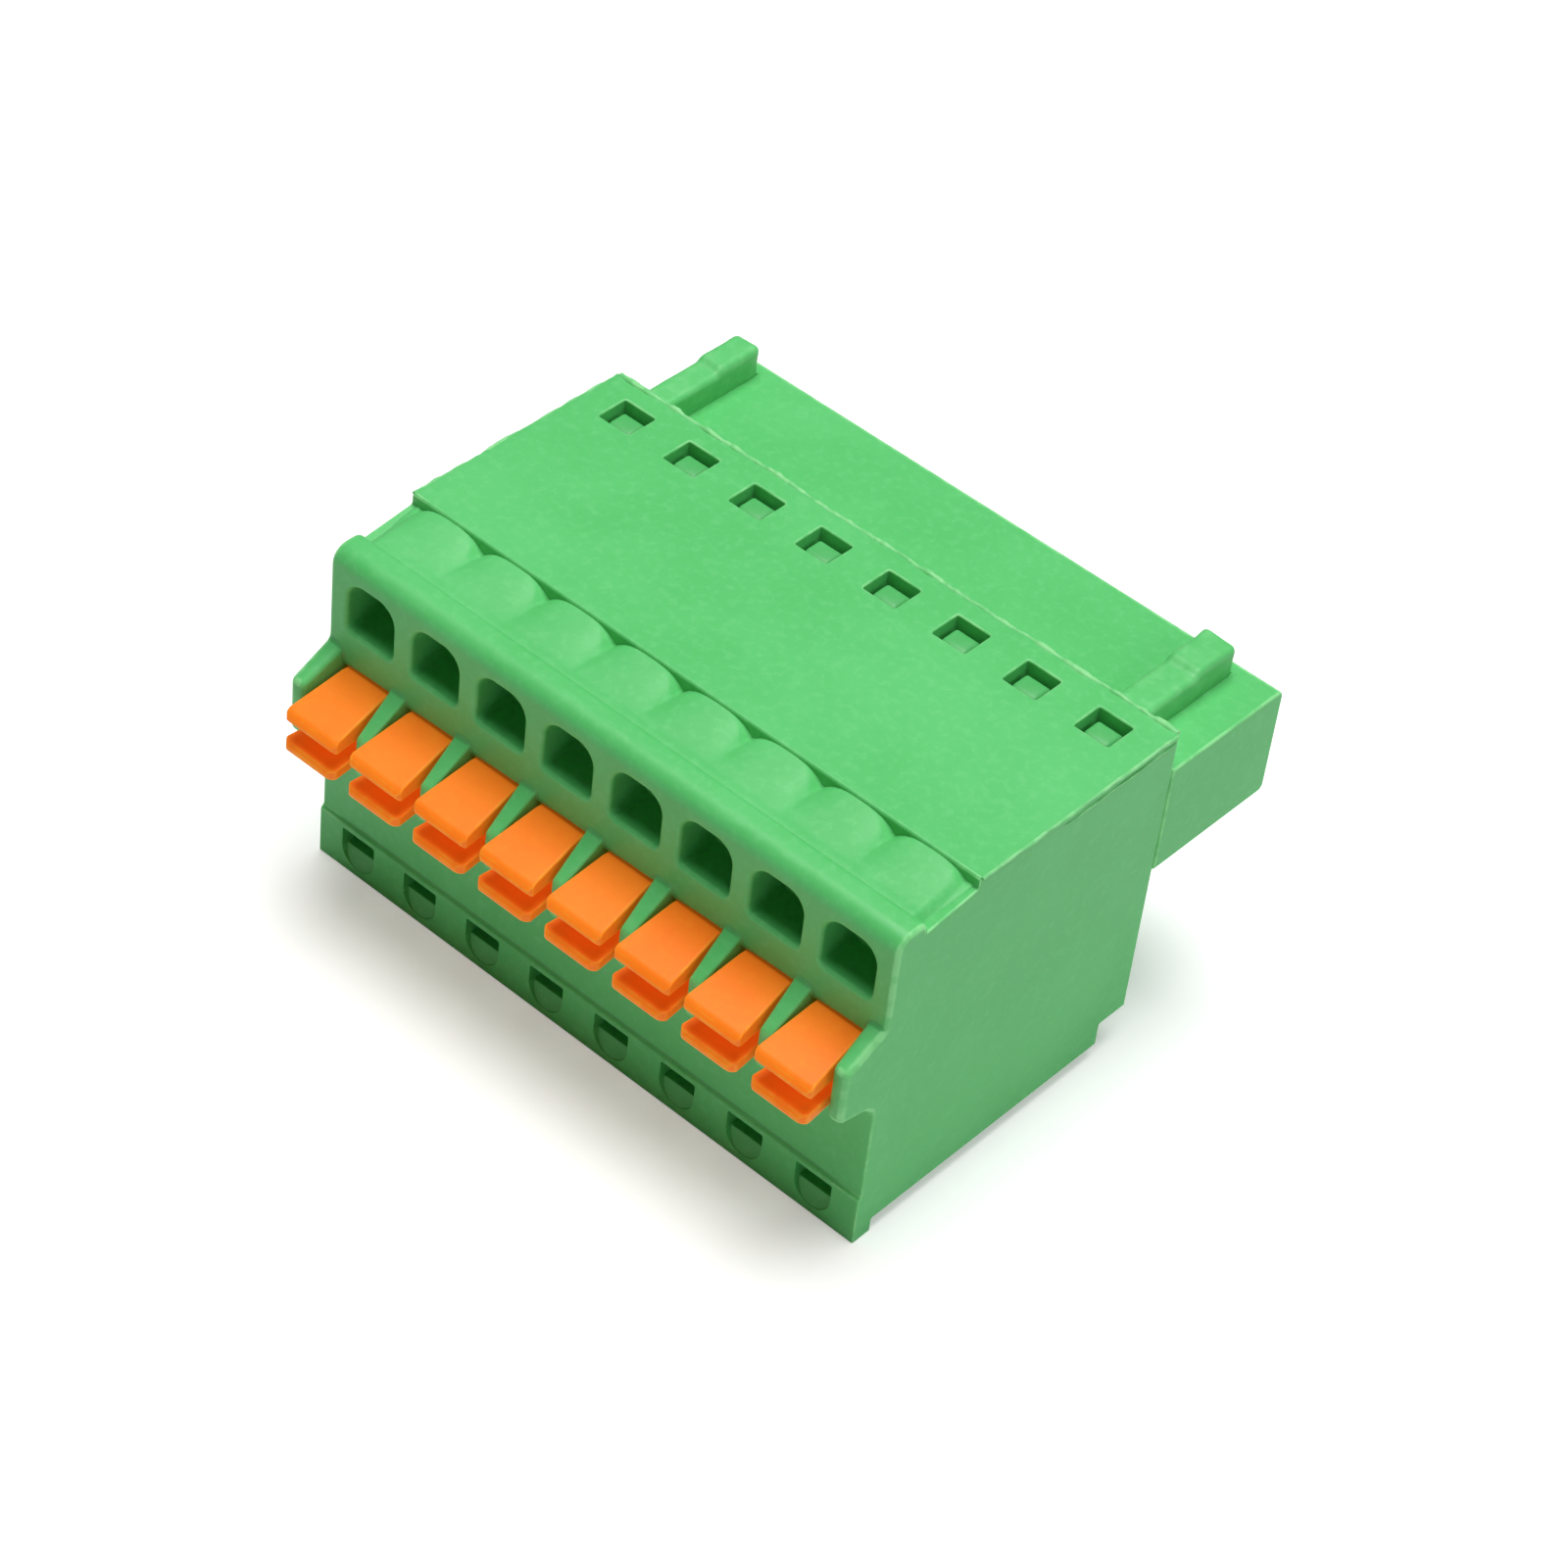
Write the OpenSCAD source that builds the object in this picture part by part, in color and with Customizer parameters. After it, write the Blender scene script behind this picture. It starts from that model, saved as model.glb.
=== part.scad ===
// Pluggable spring terminal block, eight poles, with push buttons for release.
// X runs along the row of poles, Y from the wire side to the plug side, Z up.
// Inside the modules Y = 0 is the shell's front face and Z = 0 the underside
// of its front lip. place() then centres the part over the origin.

/* [Poles] */
// Distance from one pole to the next
pitch = 3.5; // [3.45:0.01:4]
// Extra wall beyond the outer half pitch at each end
end_margin = 0.45; // [0.3:0.05:1.2]

/* [Shell] */
// Depth of the shell, front face to back face
shell_l = 15.8; // [15.2:0.1:19]
// Height of the shell, lip to top plate
shell_h = 16.1; // [15.5:0.1:19]
// Wall in front of the button bays
front_wall = 1.3; // [1:0.05:1.8]
// Depth of the wire guides in front of the clamping rooms
guide_l = 4.6; // [4.2:0.1:5]
// Thickness of the floor
floor_t = 1.95; // [1.6:0.05:2.6]
// Thickness of the roof over the clamping rooms
roof_t = 1.35; // [1.2:0.05:1.8]

/* [Deck and rim] */
// Depth of the lower deck, front face to top plate
deck_l = 4.3; // [3.6:0.05:5.2]
// Step from the top plate down to the deck
plate_step = 0.5; // [0.45:0.05:0.9]
// Fall of the deck from the plate to the rim
deck_fall = 0.4; // [0:0.05:0.5]
// Depth of the rim along the front edge
rim_w = 1.6; // [1.45:0.05:2]
// Rim crest below the top plate
rim_drop = 0.35; // [0.1:0.05:0.6]
// Radius on the rim's front edge
rim_front_r = 0.75; // [0.4:0.05:0.9]
// Radius on the rim's back edge
rim_r = 0.4; // [0.2:0.05:0.5]
// Radius of the humps over the wire guides
hump_r = 4.8; // [4.6:0.1:5.6]
// Height of the humps above the deck
hump_rise = 0.36; // [0.34:0.01:0.38]

/* [Base] */
// Height of the front lip under the floor
lip_h = 0.65; // [0.3:0.05:1]
// Depth of the front lip
lip_l = 1; // [0.6:0.05:1.6]
// Depth of the raised heel at the back
heel_l = 1.6; // [1:0.1:2.4]
// Height of the raised heel above the floor's underside
heel_h = 1.1; // [0.5:0.05:1.3]
// Height of the proud strip along the bottom front
strip_h = 2.3; // [2.2:0.05:3]
// How far the strip stands out
strip_out = 0.15; // [0.05:0.05:0.4]

/* [Wire entries] */
// Width of each wire entry
entry_w = 2.5; // [2.3:0.05:2.7]
// Height of each wire entry
entry_h = 2.45; // [2.3:0.05:2.6]
// Radius of each entry's upper corners
entry_r = 0.85; // [0.4:0.05:1]
// Radius of each entry's lower corners
entry_low_r = 0.3; // [0.1:0.05:0.6]
// Depth of the wide mouth of each entry
entry_l = 2; // [1:0.1:3]
// Width of the narrower guide behind the mouth
guide_w = 2.1; // [1.9:0.05:2.25]
// Corner radius of the guide
guide_r = 0.5; // [0.2:0.05:0.8]
// Roof above the entries, from the room's ceiling down
entry_drop = 0.1; // [0:0.05:0.4]

/* [Probe slots] */
// Width of each probe slot
slot_w = 1.8; // [1:0.05:2.2]
// Height of each probe slot's straight part
slot_h = 0.95; // [0.6:0.05:1.1]
// Height of the slots' sill above the lip's underside
slot_z = 1.15; // [0.9:0.05:1.15]
// Depth of the slots
slot_depth = 2.5; // [1:0.1:3.5]
// Depth of the rounded scoop under each slot
scoop_depth = 0.3; // [0.1:0.05:0.6]

/* [Buttons] */
// Width of a button's shank
button_w = 2.5; // [2.3:0.02:2.52]
// Width of a button's head at its front
head_w = 2.8; // [2.5:0.05:2.85]
// Width of a button's head at the front face
neck_w = 2.3; // [1.8:0.05:2.4]
// Height of a button
button_h = 2.5; // [2.3:0.05:2.7]
// How far the upper fin stands out of the front face
button_out = 3.05; // [2.6:0.05:3.6]
// How much further the lower fin stands out
low_fin_out = 0.13; // [0:0.01:0.3]
// Clearance round a button
button_gap = 0.08; // [0.05:0.01:0.12]
// Travel of a button when pushed home
button_travel = 1.25; // [0.8:0.05:1.4]
// Thickness of the wall between entries and buttons
shelf_t = 1.72; // [1.5:0.02:1.8]
// Thickness of the two fins at their front
fin_t = 0.44; // [0.3:0.02:0.6]
// Depth of the driver groove between the fins
groove_l = 2.2; // [1:0.1:2.6]
// Fall of a button's top towards its front
top_fall = 0.6; // [0.5:0.05:0.7]
// Height of the stop under a button
stop_h = 0.6; // [0.3:0.05:0.9]
// Length of the stop under a button
stop_l = 1; // [0.6:0.05:1.4]
// Clearance between the stop and the front wall
stop_gap = 0.05; // [0.02:0.01:0.1]
// Bevel on a button's front corners
fin_bevel = 0.3; // [0.14:0.02:0.4]

/* [Guards] */
// How far cheeks and ribs stand out beside the buttons
guard_out = 2.05; // [1.5:0.05:2.6]
// Top of the end cheeks above the button openings
cheek_rise = 0.82; // [0.5:0.02:1]
// Fall of the end cheeks towards their front
cheek_fall = 0.9; // [0.4:0.05:1.4]
// Top of the ribs above the button openings
rib_rise = 0.47; // [0.3:0.01:0.6]
// Fall of the ribs towards their front
rib_fall = 1.3; // [0.6:0.05:1.6]
// Height of the slanted chin under the guards
chin_h = 0.85; // [0.4:0.05:1.2]
// Narrowing of the ribs towards their front
guard_taper = 0.3; // [0.3:0.02:0.4]

/* [Plug nose] */
// Length of the nose behind the shell
nose_l = 6.85; // [6.4:0.05:8.5]
// Height of the nose
nose_h = 5.15; // [4.9:0.05:6.4]
// How far the nose stands out beyond the shell at each end
nose_proud = 0.05; // [0:0.01:0.2]
// Length of the insert that reaches into the shell
insert_l = 3.4; // [3:0.05:3.6]
// Clearance round the insert
insert_gap = 0.05; // [0.02:0.01:0.1]
// Bevel round the nose's back edge
nose_bevel = 0.2; // [0.05:0.05:0.4]

/* [Latches] */
// Width of each latch window
window_w = 1.64; // [1.2:0.02:2.2]
// Length of each latch window
window_l = 1.55; // [1.2:0.05:1.8]
// Plate left behind each latch window
window_back = 1.05; // [0.8:0.05:1.3]
// Thickness of the plate over the insert
plate_t = 1.8; // [1.6:0.05:2.2]
// Latch top below the plate's top
hook_drop = 0.45; // [0.3:0.05:0.8]
// Clearance in front of a latch
hook_gap = 0.05; // [0.02:0.01:0.1]
// Clearance beside and behind a latch
hook_side = 0.2; // [0.05:0.05:0.3]

/* [Guide ribs] */
// Height of the two guide ribs on the nose
key_h = 1.2; // [0.6:0.05:1.5]
// Extra height of their back ends
key_step = 0.2; // [0.05:0.05:0.3]
// Length of the guide ribs
key_l = 6.1; // [4:0.1:6.3]
// Length of their raised back ends
key_step_l = 2.6; // [1:0.1:3]
// Width of the right guide rib
key_right_w = 1.6; // [1:0.05:2]
// Right guide rib, in from the end
key_right_in = 1.95; // [1:0.05:3]
// Width of the left guide rib
key_left_w = 1.3; // [1:0.05:2]
// Left guide rib, in from the end
key_left_in = 0.95; // [0.3:0.05:3]

/* [Pin openings] */
// Width of each pin opening
pin_w = 1.3; // [1.1:0.05:1.6]
// Height of each pin opening
pin_h = 2; // [1.4:0.05:2.4]
// Wall at the back of the nose
pin_wall = 1.05; // [0.8:0.05:1.4]
// Width of each contact room in the nose
room_w = 2.5; // [2.4:0.02:2.7]
// Height of each contact room in the nose
room_h = 3; // [2.7:0.05:3.4]

/* [Clamp springs] */
// Thickness of the spring strip
strip_t = 0.25; // [0.2:0.01:0.3]
// Width of the spring strip
strip_w = 2.3; // [1.8:0.05:2.35]
// Radius of the spring's bend
bend_r = 1.2; // [0.9:0.05:1.3]
// Distance of the bend from the room's front wall
bend_in = 1.8; // [1.6:0.05:2]
// Distance of the clamping edge from the room's front wall
edge_in = 3.3; // [3:0.05:3.6]
// Clearance between springs and what they rest on
spring_gap = 0.05; // [0.02:0.01:0.1]

/* [Contacts] */
// Thickness of the current bar
bar_t = 0.5; // [0.4:0.02:0.6]
// Width of the current bar
bar_w = 2.3; // [1.8:0.05:2.35]
// Start of the current bar behind the room's front wall
bar_in = 1.9; // [1.5:0.05:2.4]
// Length of the bar's upright below the ceiling
upright_h = 6.6; // [6:0.1:7]
// Clearance between contacts and the housing
bar_gap = 0.05; // [0.02:0.01:0.1]
// Thickness of the two tines
tine_t = 0.35; // [0.25:0.01:0.4]
// Gap between the tines where they grip the pin
tine_gap = 0.7; // [0.5:0.05:0.9]
// Distance of the tines' tips from the back wall
tine_in = 0.4; // [0.2:0.05:0.8]

/* [Hidden] */
$fn = 32;
poles = 8;
eps = 0.02;
// heights, from the top plate down
part_w = poles * pitch + 2 * end_margin;
cell_w = button_w + 2 * button_gap;
web_w = pitch - cell_w;
end_wall = end_margin + web_w / 2;
ceil_z = shell_h - roof_t;
entry_top = ceil_z - entry_drop;
entry_mid = entry_top - entry_h / 2;
bay_top = entry_top - entry_h - shelf_t;
button_top = bay_top - button_gap;
button_low = button_top - button_h;
bay_low = button_low - button_gap;
stop_end = min(guide_l, front_wall + 2 * stop_gap + stop_l + button_travel);
deck_z = shell_h - plate_step;
rim_z = shell_h - rim_drop;
deck_low = min(deck_z - deck_fall, rim_z - rim_r - 0.05);
insert_top = shell_h - plate_t;
nose_top = insert_top - insert_gap;
pin_z = nose_top - nose_h / 2;
floor_z = lip_h + floor_t;
heel_z = lip_h + heel_h;
// depths, from the front face back
room_end = shell_l - insert_l;
nose_end = shell_l + nose_l;
mid_y = (nose_end - button_out - low_fin_out) / 2;
window_y = shell_l - window_back - window_l;
// spring: the bend's centre, the clamping edge and the resting end
upright_y = room_end + insert_gap - bar_gap - bar_t;
bend_c = [guide_l + bend_in, floor_z + spring_gap + strip_t / 2 + bend_r];
edge_p = [guide_l + edge_in, ceil_z - bar_gap - bar_t - spring_gap - strip_t / 4];
rest_p = [upright_y - spring_gap - strip_t * 0.6, ceil_z - upright_h + 1.8];
edge_d = norm(edge_p - bend_c);
rest_d = norm(rest_p - bend_c);
edge_a = atan2(edge_p[1] - bend_c[1], edge_p[0] - bend_c[0]) - asin(bend_r / edge_d);
rest_a = atan2(rest_p[1] - bend_c[1], rest_p[0] - bend_c[0]) + asin(bend_r / rest_d);
edge_start = bend_c + bend_r * [-sin(edge_a), cos(edge_a)];
rest_start = bend_c + bend_r * [sin(rest_a), -cos(rest_a)];

green = [0.36, 0.79, 0.42];
orange = [1, 0.45, 0.06];
steel = [0.78, 0.79, 0.8];
tin = [0.83, 0.82, 0.78];

function pole_x(i) = (i - (poles + 1) / 2) * pitch;
// the spring's clamping leg, at a height, on the side the button pushes
function leg_y(z) = edge_start[0] + (z - edge_start[1]) / tan(edge_a)
    - (strip_t / 2 + spring_gap) / sin(edge_a);
function arc(c, r, a0, a1, n) = [for (k = [0:n])
    c + r * [cos(a0 + (a1 - a0) * k / n), sin(a0 + (a1 - a0) * k / n)]];

module place() translate([0, -mid_y, 0]) children();
module at_pole(i) translate([pole_x(i), 0, 0]) children();
// a side view, drawn as Y and Z, stretched along X about the middle
module slab(w) translate([-w / 2, 0, 0]) rotate([90, 0, 90]) linear_extrude(w) children();
// a front view, drawn as X and Z, from y0 to y1
module front_cut(y0, y1) translate([0, y1, 0]) rotate([90, 0, 0]) linear_extrude(y1 - y0) children();
module box(x0, x1, y0, y1, z0, z1) translate([x0, y0, z0]) cube([x1 - x0, y1 - y0, z1 - z0]);

// an opening with one radius for its upper corners and one for its lower
module round_rect(w, h, r, low_r) {
    translate([-w / 2 + r, -h / 2]) square([w - 2 * r, h]);
    translate([-w / 2, -h / 2 + low_r]) square([w, h - low_r - r]);
    translate([-w / 2 + low_r, -h / 2]) square([w - 2 * low_r, low_r + eps]);
    for (sx = [-1, 1]) {
        translate([sx * (w / 2 - r), h / 2 - r]) circle(r);
        translate([sx * (w / 2 - low_r), low_r - h / 2]) circle(low_r);
    }
}

// ---- shell ----
module shell_side() polygon(concat(
    [[-strip_out, 0], [-strip_out, strip_h], [0, strip_h + strip_out]],
    arc([rim_front_r, rim_z - rim_front_r], rim_front_r, 180, 90, 6),
    arc([rim_w - rim_r, rim_z - rim_r], rim_r, 90, 0, 5),
    [[rim_w, deck_low], [deck_l, deck_z], [deck_l, shell_h - 0.08],
     [deck_l + 0.08, shell_h], [shell_l, shell_h], [shell_l, heel_z],
     [shell_l - heel_l, heel_z], [shell_l - heel_l, lip_h],
     [lip_l - strip_out, lip_h], [lip_l - strip_out, 0]]));

module guard_side(rise, fall) polygon([
    [eps, bay_top + rise], [0, bay_top + rise],
    [-guard_out + 0.1, bay_top + rise - fall], [-guard_out, bay_top + rise - fall - 0.12],
    [-guard_out, bay_low], [-guard_out + 0.12, bay_low - 0.15],
    [-guard_out * 0.27, bay_low - chin_h * 0.45], [0, bay_low - chin_h],
    [eps, bay_low - chin_h]]);

module hump(i) {
    tilt = atan((deck_z - deck_low) / (deck_l - rim_w));
    at_pole(i) translate([0, deck_l, deck_z + hump_rise - hump_r])
        rotate([90 + tilt, 0, 0]) cylinder(r = hump_r, h = deck_l - rim_w / 2);
}

module room_side() {
    // clamping room, and the button's bay in front of it
    polygon([[guide_l, floor_z], [room_end + eps, floor_z], [room_end + eps, ceil_z],
        [guide_l, ceil_z]]);
    polygon([[front_wall, bay_low - stop_h], [stop_end, bay_low - stop_h], [stop_end, bay_low],
        [guide_l + eps, bay_low], [guide_l + eps, bay_top], [front_wall, bay_top]]);
}

module terminal_shell() color(green) place() difference() {
    union() {
        slab(part_w) shell_side();
        intersection() {
            union() for (i = [1:poles]) hump(i);
            box(-part_w / 2, part_w / 2, rim_w / 2, deck_l + eps, ceil_z, shell_h - 0.1);
        }
        for (s = [-1, 1]) translate([s * (part_w - end_wall) / 2, 0, 0])
            slab(end_wall) guard_side(cheek_rise, cheek_fall);
        for (i = [1:poles - 1]) translate([pole_x(i) + pitch / 2, 0, 0])
            slab(web_w) guard_side(rib_rise, rib_fall);
    }
    // room for the buttons' flared heads between the guards
    for (i = [1:poles]) at_pole(i) translate([0, 0, bay_low - chin_h - 0.5])
        linear_extrude(bay_top - bay_low + chin_h + cheek_rise + 1) polygon([
            [-cell_w / 2, 0], [cell_w / 2, 0],
            [cell_w / 2 + guard_taper / 2, -guard_out], [cell_w / 2 + guard_taper / 2, -guard_out - 1],
            [-cell_w / 2 - guard_taper / 2, -guard_out - 1], [-cell_w / 2 - guard_taper / 2, -guard_out]]);
    // wire entries, mouth and guide
    front_cut(-1, entry_l) for (i = [1:poles])
        translate([pole_x(i), entry_mid]) round_rect(entry_w, entry_h, entry_r, entry_low_r);
    front_cut(entry_l - eps, guide_l + eps) for (i = [1:poles])
        translate([pole_x(i), entry_mid]) round_rect(guide_w, guide_w, guide_r, guide_r);
    // rooms and bays
    for (i = [1:poles]) at_pole(i) {
        slab(cell_w) room_side();
        box(-cell_w / 2, cell_w / 2, -eps, front_wall + eps, bay_low, bay_top);
        box(-window_w / 2, window_w / 2, window_y, window_y + window_l, insert_top - eps, shell_h + 1);
    }
    // opening for the plug nose's insert
    box(-part_w / 2 + end_wall, part_w / 2 - end_wall, room_end, shell_l + 1, floor_z, insert_top);
    // probe slots, with a rounded scoop below
    front_cut(-1, slot_depth) for (i = [1:poles])
        translate([pole_x(i) - slot_w / 2, slot_z]) square([slot_w, slot_h]);
    front_cut(-1, scoop_depth - strip_out) for (i = [1:poles])
        translate([pole_x(i), slot_z + 0.1]) intersection() {
            circle(slot_w / 2);
            translate([-slot_w / 2, -slot_w / 2]) square([slot_w, slot_w / 2]);
        }
}

// ---- plug nose ----
module hook() slab(window_w - 2 * hook_side) polygon([
    [window_y + hook_gap, nose_top - eps], [window_y + hook_gap, shell_h - hook_drop - 0.35],
    [window_y + hook_gap + 0.3, shell_h - hook_drop],
    [window_y + window_l - hook_side, shell_h - hook_drop],
    [window_y + window_l - hook_side, nose_top - eps]]);

module key(x0, x1) {
    y1 = shell_l + key_l;
    translate([(x0 + x1) / 2, 0, 0]) slab(x1 - x0) polygon([
        [shell_l, nose_top - eps], [shell_l, nose_top + key_h],
        [y1 - key_step_l, nose_top + key_h], [y1 - key_step_l + 0.25, nose_top + key_h + key_step],
        [y1 - 0.12, nose_top + key_h + key_step], [y1, nose_top + key_h + key_step - 0.12],
        [y1, nose_top - eps]]);
}

module nose_side() polygon([
    [shell_l, nose_top - nose_h], [nose_end - nose_bevel, nose_top - nose_h],
    [nose_end, nose_top - nose_h + nose_bevel], [nose_end, nose_top - nose_bevel],
    [nose_end - nose_bevel, nose_top], [shell_l, nose_top]]);

module plug_nose() color(green) place() difference() {
    union() {
        slab(part_w + 2 * nose_proud) nose_side();
        box(-part_w / 2 + end_wall + insert_gap, part_w / 2 - end_wall - insert_gap,
            room_end + insert_gap, shell_l + eps, floor_z + insert_gap, nose_top);
        for (i = [1:poles]) at_pole(i) hook();
        key(part_w / 2 - key_right_in - key_right_w, part_w / 2 - key_right_in);
        key(-part_w / 2 + key_left_in, -part_w / 2 + key_left_in + key_left_w);
    }
    for (i = [1:poles]) at_pole(i) {
        // contact room, the bar's slot into it, and the pin opening
        box(-room_w / 2, room_w / 2, shell_l + 0.2, nose_end - pin_wall,
            pin_z - room_h / 2, pin_z + room_h / 2);
        box(-bar_w / 2 - bar_gap, bar_w / 2 + bar_gap, room_end - eps, shell_l + 0.2 + eps,
            pin_z - bar_t / 2 - bar_gap, pin_z + bar_t / 2 + bar_gap);
        box(-pin_w / 2, pin_w / 2, nose_end - pin_wall - eps, nose_end + 1,
            pin_z - pin_h / 2, pin_z + pin_h / 2);
        box(-pin_w / 2 - 0.2, pin_w / 2 + 0.2, nose_end - 0.25, nose_end + 1,
            pin_z - pin_h / 2 - 0.2, pin_z + pin_h / 2 + 0.2);
    }
}

// ---- push buttons ----
module button_side() {
    f = -button_out;
    g = f - low_fin_out;                 // front of the lower fin
    t = button_top - top_fall;           // top of the upper fin at its front
    u = t - fin_t;                       // underside of the upper fin
    l = button_low + fin_t;              // top of the lower fin
    r = button_low + 0.3;                // underside of the pusher
    b = fin_t * 0.3;
    polygon([[f + b, t + 0.03], [-0.2, button_top],
        [leg_y(button_top), button_top], [leg_y(r), r], [front_wall + stop_gap + stop_l, r],
        [front_wall + stop_gap + stop_l, button_low - stop_h + 0.05],
        [front_wall + stop_gap, button_low - stop_h + 0.05], [front_wall + stop_gap, button_low],
        [g + b, button_low], [g, button_low + b], [g, l - b], [g + b, l],
        [f + groove_l, l + 0.08], [f + groove_l, u - 0.08],
        [f + b, u], [f, u + b], [f, t - b]]);
}

// the head flares towards its front, between the guards
module button_plan() {
    g = -button_out - low_fin_out;
    back = guide_l + bend_in + edge_in;
    polygon([[-button_w / 2, back], [-button_w / 2, 0.35], [-neck_w / 2, 0.05],
        [-head_w / 2, g + fin_bevel], [-head_w / 2 + fin_bevel, g],
        [head_w / 2 - fin_bevel, g], [head_w / 2, g + fin_bevel],
        [neck_w / 2, 0.05], [button_w / 2, 0.35], [button_w / 2, back]]);
}

module push_button(i) color(orange) place() at_pole(i) intersection() {
    slab(head_w) button_side();
    translate([0, 0, button_low - stop_h]) linear_extrude(button_h + stop_h + 1) button_plan();
}

// ---- clamp springs ----
module leg(p, q) {
    d = q - p;
    translate(p) rotate(atan2(d[1], d[0])) translate([-eps, -strip_t / 2])
        square([norm(d) + eps, strip_t]);
}

module clamp_spring(i) color(steel) place() at_pole(i) slab(strip_w) {
    leg(edge_start, edge_p);
    leg(rest_start, rest_p);
    // the bend, the long way round under its centre
    translate(bend_c) intersection() {
        difference() {
            circle(bend_r + strip_t / 2);
            circle(bend_r - strip_t / 2);
        }
        polygon(concat([[0, 0]], arc([0, 0], 3 * bend_r, edge_a + 90, rest_a + 270, 6)));
    }
}

// ---- pin contacts ----
module pin_contact(i) color(tin) place() at_pole(i) slab(bar_w) {
    top = ceil_z - bar_gap;
    t = bar_t / 2;
    y0 = shell_l + 0.35;                 // root of the fork
    y2 = nose_end - pin_wall - tine_in;  // tips of the tines
    y1 = y2 - 0.9;                       // where they grip the pin
    root = tine_gap / 2 + 0.45;
    grip = tine_gap / 2;
    // bar over the clamping room, upright behind the spring, tail and fork
    polygon([[guide_l + bar_in, top], [guide_l + bar_in, top - bar_t],
        [upright_y, top - bar_t], [upright_y, ceil_z - upright_h],
        [upright_y + bar_t, ceil_z - upright_h], [upright_y + bar_t, pin_z - t],
        [y0, pin_z - t], [y0, pin_z - root - tine_t], [y1, pin_z - grip - tine_t],
        [y2, pin_z - grip - tine_t - 0.3], [y2, pin_z - grip - 0.3], [y1, pin_z - grip],
        [y0 + bar_t, pin_z - root], [y0 + bar_t, pin_z + root], [y1, pin_z + grip],
        [y2, pin_z + grip + 0.3], [y2, pin_z + grip + tine_t + 0.3],
        [y1, pin_z + grip + tine_t], [y0, pin_z + root + tine_t], [y0, pin_z + t],
        [upright_y + bar_t, pin_z + t], [upright_y + bar_t, top]]);
}

module push_button_1() push_button(1);
module push_button_2() push_button(2);
module push_button_3() push_button(3);
module push_button_4() push_button(4);
module push_button_5() push_button(5);
module push_button_6() push_button(6);
module push_button_7() push_button(7);
module push_button_8() push_button(8);
module clamp_spring_1() clamp_spring(1);
module clamp_spring_2() clamp_spring(2);
module clamp_spring_3() clamp_spring(3);
module clamp_spring_4() clamp_spring(4);
module clamp_spring_5() clamp_spring(5);
module clamp_spring_6() clamp_spring(6);
module clamp_spring_7() clamp_spring(7);
module clamp_spring_8() clamp_spring(8);
module pin_contact_1() pin_contact(1);
module pin_contact_2() pin_contact(2);
module pin_contact_3() pin_contact(3);
module pin_contact_4() pin_contact(4);
module pin_contact_5() pin_contact(5);
module pin_contact_6() pin_contact(6);
module pin_contact_7() pin_contact(7);
module pin_contact_8() pin_contact(8);

terminal_shell();
plug_nose();
push_button_1();
push_button_2();
push_button_3();
push_button_4();
push_button_5();
push_button_6();
push_button_7();
push_button_8();
clamp_spring_1();
clamp_spring_2();
clamp_spring_3();
clamp_spring_4();
clamp_spring_5();
clamp_spring_6();
clamp_spring_7();
clamp_spring_8();
pin_contact_1();
pin_contact_2();
pin_contact_3();
pin_contact_4();
pin_contact_5();
pin_contact_6();
pin_contact_7();
pin_contact_8();
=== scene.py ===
import math
import bmesh
import bpy
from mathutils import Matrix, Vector


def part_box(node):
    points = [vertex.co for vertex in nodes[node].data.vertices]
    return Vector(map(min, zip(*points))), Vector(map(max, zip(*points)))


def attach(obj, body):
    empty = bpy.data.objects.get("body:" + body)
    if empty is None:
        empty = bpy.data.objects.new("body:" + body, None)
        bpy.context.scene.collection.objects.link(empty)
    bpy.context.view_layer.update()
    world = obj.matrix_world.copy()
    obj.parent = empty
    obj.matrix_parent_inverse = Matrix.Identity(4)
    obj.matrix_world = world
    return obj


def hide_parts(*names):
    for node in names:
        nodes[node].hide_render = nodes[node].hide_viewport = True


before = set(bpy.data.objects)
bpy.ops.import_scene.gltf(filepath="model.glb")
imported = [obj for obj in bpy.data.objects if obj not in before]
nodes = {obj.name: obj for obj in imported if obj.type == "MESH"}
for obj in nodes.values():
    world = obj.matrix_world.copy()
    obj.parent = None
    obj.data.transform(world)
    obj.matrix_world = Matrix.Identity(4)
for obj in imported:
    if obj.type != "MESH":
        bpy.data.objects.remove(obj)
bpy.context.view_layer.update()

MM = 0.001
POLES = 8
PITCH = 3.5 * MM
SIDE, SHELL_BACK, PLATE_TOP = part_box("terminal_shell")[1]    # SIDE is half the shell's width
SHELL_LENGTH = 15.8 * MM
FRONT = SHELL_BACK - SHELL_LENGTH       # the shell's front face

# Places on the shell, behind its front face
DECK_FRONT = 1.6 * MM                   # the rim's foot
PLATE_FRONT = 4.3 * MM
WINDOWS = 12.0 * MM                     # a little before the latch windows
SCOOP_FLOOR = 0.15 * MM                 # the scoops under the probe slots
ON = 0.02 * MM                          # how near a point on a face has to lie to it

# Heights, and reaches to either side
STRIP_TOP = 2.2 * MM
NOSE_TOP = 14.25 * MM
LATCHES = 15.1 * MM                     # only latches stand above this inside the shell
SKIN_ROOM = 14.0 * MM                   # half the width in which the deck makes room for its skin

# The guide ribs on the nose: left side, right side, seed
GUIDE_RIBS = {"left_guide_rib": (-13.55 * MM, -12.2 * MM, 5),
              "right_guide_rib": (10.95 * MM, 12.55 * MM, 8)}
RIB_LENGTH = 6.2 * MM


def pole_x(i):
    return (i - (POLES + 1) / 2) * PITCH


# ---------------------------------------------------------------- finishes

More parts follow.
